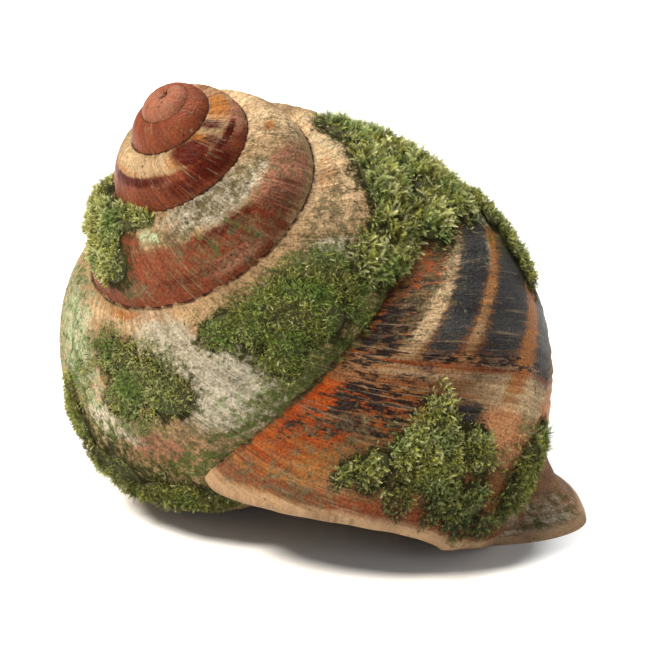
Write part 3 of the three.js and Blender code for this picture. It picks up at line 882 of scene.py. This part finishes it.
# Feather moss: soft matt shoots under 2 mm long, yellow-green at the tips, brown-green below.
moss = {
    "colours": ((0.0, "#2b2f08"), (0.35, "#6b6c20"), (0.7, "#b0b03a"), (1.0, "#d6d596")),
    "vivid": "#5c8212", "roughness": 0.7,
    "spread": 0.88, "stray": (0.35, 0.35),  # share of a cushion filled; share that stray, how far
    "tries": 2.2,  # places tried for each shoot
    "edgeNoise": ((2.3, 1.1), (0.8, 0.8)),  # size in mm, weight
    "edge": (0.75, 1.1, 0.3),  # reach where it frays, how fast, and how much is filled
    "clumpSize": 1.3, "tuftSize": 0.9, "patchSize": 2.6,  # mm
    "depthPower": 0.7, "rise": 0.6, "tufts": (0.85, 0.6, 0.35, 1.3),  # middle, more, least, most
    "lengthPower": 1.3, "edgeLength": (1.35, 0.5, 0.55, 1.1),  # middle, less, least, most
    "upright": (0.1, 0.4), "outwards": 0.3, "loose": 0.7, "leastLift": 0.12,  # how a shoot lies
    "swirl": 0.35, "swirlRate": 7, "roll": 0.5,  # how it turns with its clump, and by chance
    "toneShares": (0.75, 0.6, 0.5, 0.18),  # of brightness, patches, tufts and chance
    "tipTone": 0.42, "heightLightTone": 0.3,  # paler at the tip, and painted light: paler the higher it stands
    "vividShares": (1.1, 0.15, 0.9),  # of patches and chance, and the most
    "lit": (0.9, 0.6, 0.34, 0.45),  # painted light and shade: more at the tip and at the top, less everywhere, and painted shade at the lip
    "lipGap": 0.004, "lipShade": (0.015, 0.06),  # turns
    "clearance": 0.3,  # mm over the ground
    "heightLightRange": (5, 16),  # mm; painted light: moss is paler and yellower the higher it stands
    "greenest": 0.72,  # tone from which shoots are pale
    # node: piece name, shoots, shortest and longest in mm, brightness, share of pale shoots,
    # vividness, gaps
    "pieces": {
        "moss_spire": ("Spire", 4800, 0.3, 0.75, 0.45, 0.15, 0.1, 0.14),
        "moss_shoulder": ("Shoulder", 8300, 0.4, 1.1, 0.32, 0.25, 0.15, -0.05),
        "moss_edge": ("Edge", 2400, 0.4, 0.9, 0.32, 0.2, 0.1, 0.0),
        "moss_band": ("Band", 8000, 0.22, 0.55, 0.22, 0.08, 0.5, 0.0),
        "moss_body": ("Body", 5300, 0.2, 0.5, 0.64, 0.05, 0.45, 0.08),
        "moss_belly": ("Belly", 6200, 0.28, 0.65, 0.32, 0.08, 0.1, -0.1),
        "moss_lip": ("Lip", 6000, 0.3, 0.8, 0.54, 0.09, 0.12, 0.02),
        "moss_flare": ("Flare", 3000, 0.3, 0.75, 0.5, 0.08, 0.1, 0.0),
    },
}


def makeFrond(bend, twist):  # one shoot along +X, one unit long, its leaves in pairs
    bm = bmesh.new()

    def spot(x, side=0.0, lift=0.0):
        return bm.verts.new((x, side + twist * x * x,
                             lift + bend * math.sin(shoot["bendWave"] * x)))

    half = shoot["stemWidth"] / 2
    rungs = [(spot(x, -half * (1 - x)), spot(x, half * (1 - x))) for x in shoot["rungs"]]
    for first, second in zip(rungs, rungs[1:]):
        bm.faces.new((first[0], second[0], second[1]))
        bm.faces.new((first[0], second[1], first[1]))
    half = shoot["leafWidth"] / 2
    swellLeast, swellMore, swellWave = shoot["swell"]
    taperFrom, taperOver = shoot["taper"]
    liftLeast, liftStep = shoot["lift"]
    for pair in range(shoot["leafPairs"]):
        x = shoot["leavesFrom"] + shoot["leavesOver"] * pair / (shoot["leafPairs"] - 1)
        length = shoot["leafLength"] * (swellLeast + swellMore * math.sin(swellWave * x))
        length *= taperFrom - taperOver * x
        for sign in (-1, 1):
            lift = liftLeast + liftStep * ((pair * 7 + sign) % 3)  # three lifts, mixed
            tip = spot(x + shoot["forward"] * length, sign * length * shoot["outward"],
                       lift * length)
            bm.faces.new((spot(x - half), spot(x + half), tip))
    bm.verts.index_update()
    places = np.array([vertex.co[:] for vertex in bm.verts])
    corners = np.array([[vertex.index for vertex in face.verts] for face in bm.faces])
    bm.free()
    return places, corners


def makeMossMaterial():
    material, tree, shader = newMaterial("featherMoss")
    tint = addNode(tree, "Attribute", {"attribute_name": "tint"}).outputs["Vector"]
    parts = addNode(tree, "SeparateXYZ", {}, {0: tint})  # tone, painted light and shade, vividness
    ramp = addNode(tree, "ValToRGB", {}, {0: parts.outputs[0]})
    while len(ramp.color_ramp.elements) < len(moss["colours"]):
        ramp.color_ramp.elements.new(0.5)
    for element, (position, colour) in zip(ramp.color_ramp.elements, moss["colours"]):
        element.position = position
        element.color = linear(colour)
    aged = addNode(tree, "Mix", {"data_type": "RGBA", 7: moss["vivid"]},
                   {0: parts.outputs[2], 6: ramp.outputs[0]})
    # painted shade: the less lit parts go towards the dark peat colour
    shaded = addNode(tree, "Mix", {"data_type": "RGBA", 6: peatAndShade["colours"][0]},
                     {0: parts.outputs[1], 7: aged.outputs[2]})
    tree.links.new(shaded.outputs[2], shader.inputs["Base Color"])
    shader.inputs["Roughness"].default_value = moss["roughness"]
    return material


def rootShoots(domes, wanted, gaps, random):  # x, y and reach are in half lengths of the dome
    share = domes[:, 2] * domes[:, 3]
    tried = int(wanted * moss["tries"])
    pick = random.choice(len(domes), tried, p=share / share.sum())
    turn, angle, along, aside, height = domes[pick].T
    along, aside = along * moss["spread"], aside * moss["spread"]
    strayShare, strayReach = moss["stray"]
    stray = np.abs(random.normal(size=tried)) * (random.random(tried) < strayShare)
    reach = np.sqrt(random.random(tried)) * (1 + strayReach * stray)
    heading = random.random(tried) * 2 * math.pi
    x, y = reach * np.cos(heading), reach * np.sin(heading)
    turnRate, angleRate = perTurn(turn, angle), perDegree(turn, angle)
    here, there = turn + x * along / turnRate, angle + y * aside / angleRate
    point, normal, alongWay, acrossWay = tubeFrame(here, there)
    ragged = sum(weight * noiseAt(point / size) for size, weight in moss["edgeNoise"])
    lipAt = np.interp(there, angles, lipTable)
    frayFrom, frayRate, filled = moss["edge"]
    grown = ragged > (reach - frayFrom) * frayRate - filled + gaps
    keep = np.flatnonzero(grown & (here < lipAt - moss["lipGap"]))[:wanted]
    return [values[keep] for values in (point, normal, unit(alongWay), unit(acrossWay),
                                        x, y, reach, height, lipAt - here)]


def joinCopies(name, corners, faces):  # corners of every copy in mm, and the faces of one
    mesh = bpy.data.meshes.new(name)
    copies, each = corners.shape[:2]
    allFaces = faces[None] + (np.arange(copies) * each)[:, None, None]
    mesh.vertices.add(copies * each)
    mesh.vertices.foreach_set("co", (corners * mm).ravel())
    mesh.loops.add(allFaces.size)
    mesh.loops.foreach_set("vertex_index", allFaces.ravel().astype(np.int32))
    mesh.polygons.add(allFaces.size // 3)
    mesh.polygons.foreach_set("loop_start", np.arange(0, allFaces.size, 3, dtype=np.int32))
    mesh.update(calc_edges=True)
    return mesh


def makeMoss(node, fronds, material, random):
    name, wanted, shortest, longest, brightness, paleShare, vividness, gaps = moss["pieces"][node]
    domes = np.array(cushions[node] + mossFilm.get(node, []), float)
    point, normal, alongWay, acrossWay, x, y, reach, height, toLip = rootShoots(domes, wanted, gaps,
                                                                                random)
    total = len(point)
    depth = random.random(total) ** moss["depthPower"]  # 1 at the top of the cushion
    clump = noiseAt(point / moss["clumpSize"])[:, None]
    middle, more, least, most = moss["tufts"]
    tuft = np.clip(middle + more * noiseAt(point / moss["tuftSize"]), least, most)
    rise = height * np.sqrt(np.clip(1 - reach ** 2, 0, 1)) * depth * moss["rise"] * tuft

    # Shoots lie mostly along the shell, lean outwards, and turn together in clumps.
    loose = random.normal(size=(total, 3))
    outward = unit(alongWay * x[:, None] + acrossWay * y[:, None])
    least, more = moss["upright"]
    way = normal * (least + more * random.random((total, 1)))
    way = way + outward * reach[:, None] * moss["outwards"] + loose * moss["loose"]
    swirl = clump * moss["swirlRate"]
    way += (alongWay * np.cos(swirl) + acrossWay * np.sin(swirl)) * moss["swirl"]
    lift = np.sum(way * normal, -1, keepdims=True)
    way = unit(way + normal * np.maximum(moss["leastLift"] - lift, 0))
    side = unit(np.cross(way, normal + moss["roll"] * random.normal(size=(total, 3))))
    up = np.cross(side, way)
    length = shortest + (longest - shortest) * random.random(total) ** moss["lengthPower"]
    inside, less, least, most = moss["edgeLength"]
    length *= np.clip(inside - less * reach, least, most)
    root = point + normal * rise[:, None]
    shapes = np.array([places for places, _ in fronds])[random.integers(len(fronds), size=total)]
    scaled = shapes * length[:, None, None]
    corners = (root[:, None] + scaled[..., :1] * way[:, None] + scaled[..., 1:2] * side[:, None]
               + scaled[..., 2:] * up[:, None])
    corners[..., 2] = np.maximum(corners[..., 2], moss["clearance"])
    mesh = joinCopies("moss" + name, corners, fronds[0][1])

    # Painted light and shade in the tint: brighter towards the tips, and dark at the roots and by the
    # lip.
    patchy = noiseAt(point / moss["patchSize"])
    plain, patches, tufts, chance = moss["toneShares"]
    tone = (brightness * plain + patches * patchy + tufts * (tuft - middle)
            + chance * random.normal(size=total))
    # painted light: the tone rises with height
    heightLight = smooth(point[:, 2], *moss["heightLightRange"])
    greenest = moss["greenest"]
    tone = np.clip(tone + moss["heightLightTone"] * (heightLight - 0.5), 0, greenest)
    tone = np.where(random.random(total) < paleShare,
                    greenest + (1 - greenest) * random.random(total), tone)
    patches, chance, most = moss["vividShares"]
    vivid = np.clip(vividness + patches * patchy + chance * random.normal(size=total), 0, most)
    tip = np.clip(shapes[..., 0], 0, 1)
    lipShade = 1 - smooth(toLip, *moss["lipShade"])
    atTip, atTop, everywhere, atLip = moss["lit"]
    lit = atTip * tip + (atTop * depth - everywhere - atLip * lipShade)[:, None]
    tint = np.stack([np.broadcast_to(tone[:, None], tip.shape) + moss["tipTone"] * tip,
                     np.clip(lit, 0, 1),
                     np.broadcast_to(vivid[:, None], tip.shape)], -1)
    addLayers(mesh, {"tint": tint.reshape(-1, 3)})
    finishPiece(mesh, "moss" + name, [material], node, smoothFaces=False)


shapeRandom = np.random.default_rng(11)
leastBend, moreBend = shoot["bend"]
twistRange = shoot["twist"]
fronds = [makeFrond(leastBend + moreBend * shapeRandom.random(),
                    twistRange * shapeRandom.random() - twistRange / 2)
          for _ in range(shoot["shapes"])]
mossMaterial, peatAndShadeMaterial = makeMossMaterial(), twoToneMaterial("peatAndShade", peatAndShade)[0]
for number, (node, row) in enumerate(moss["pieces"].items()):
    makePeatAndShade(node, row[0], peatAndShadeMaterial)
    makeMoss(node, fronds, mossMaterial, np.random.default_rng(100 + number))
    print("stage:", node)
